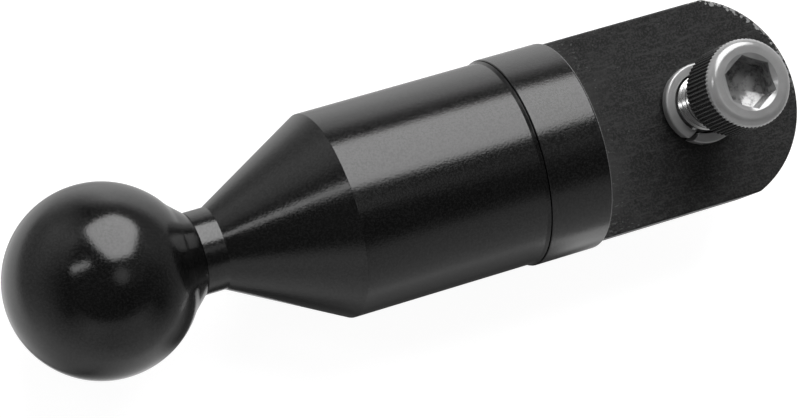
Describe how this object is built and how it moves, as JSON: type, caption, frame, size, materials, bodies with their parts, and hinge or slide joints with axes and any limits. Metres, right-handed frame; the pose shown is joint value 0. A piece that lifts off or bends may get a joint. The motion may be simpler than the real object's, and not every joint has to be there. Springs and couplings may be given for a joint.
{
  "type": "ball-ended swivel rod end",
  "caption": "Rod end with a ball on a tapered barrel and a flat screw-clamp tongue that swivels on a thrust bearing in the barrel.",
  "frame": {"origin": "centre of the ball, where the socket that holds the part grips it", "axes": "+X along the rod from the ball to the tongue, +Z the normal of the tongue's face that carries the cap screw, +Y across the tongue"},
  "size_m": [0.1118, 0.0282, 0.0357],
  "materials": {
    "black_anodised": "black anodised turned aluminium, glossy on the round surfaces and matte on the milled tongue",
    "bare_steel": "bright stainless steel, machined",
    "dark_steel": "oil-blackened spring and alloy steel",
    "bearing_steel": "polished hardened steel",
    "bronze": "machined bearing bronze",
    "acetal": "natural acetal",
    "nitrile": "matte nitrile rubber"
  },
  "bodies": {
    "barrel": {"ball_end": "black_anodised", "ball_stud": "dark_steel", "barrel_housing": "black_anodised", "rear_washer": "acetal", "housing_race": "bearing_steel", "gland_ring": "bare_steel", "spindle_bush": "bronze", "seal_ring": "nitrile", "slip_washer": "acetal"},
    "tongue": {"tongue_end": "black_anodised", "spindle": "bare_steel", "shaft_race": "bearing_steel", "disc_spring_1": "dark_steel", "disc_spring_2": "dark_steel", "disc_spring_3": "dark_steel", "grub_screw": "dark_steel"},
    "bearing_cage": {"ball_cage": "bronze", "bearing_ball_1": "bearing_steel", "bearing_ball_2": "bearing_steel", "bearing_ball_3": "bearing_steel", "bearing_ball_4": "bearing_steel", "bearing_ball_5": "bearing_steel", "bearing_ball_6": "bearing_steel", "bearing_ball_7": "bearing_steel", "bearing_ball_8": "bearing_steel", "bearing_ball_9": "bearing_steel", "bearing_ball_10": "bearing_steel"},
    "cap_screw": {"cap_screw": "bare_steel"},
    "lock_washer": {"lock_washer": "bare_steel"}
  },
  "joints": [
    {"name": "tongue_swivel", "type": "hinge", "parent": "barrel", "child": "tongue", "pos_m": [0.04635, 0, 0], "axis": [1, 0, 0], "continuous": true},
    {"name": "bearing_cage_turn", "type": "hinge", "parent": "barrel", "child": "bearing_cage", "pos_m": [0.04635, 0, 0], "axis": [1, 0, 0], "continuous": true},
    {"name": "cap_screw_feed", "type": "slide", "parent": "tongue", "child": "cap_screw", "axis": [0, 0, 1], "range_m": [-0.0076, 0.0095]},
    {"name": "lock_washer_turn", "type": "hinge", "parent": "tongue", "child": "lock_washer", "pos_m": [0.0847, 0, 0.005], "axis": [0, 0, 1], "continuous": true}
  ],
  "couplings": [
    {"joint": "bearing_cage_turn", "follows": "tongue_swivel", "ratio": 0.5}
  ]
}
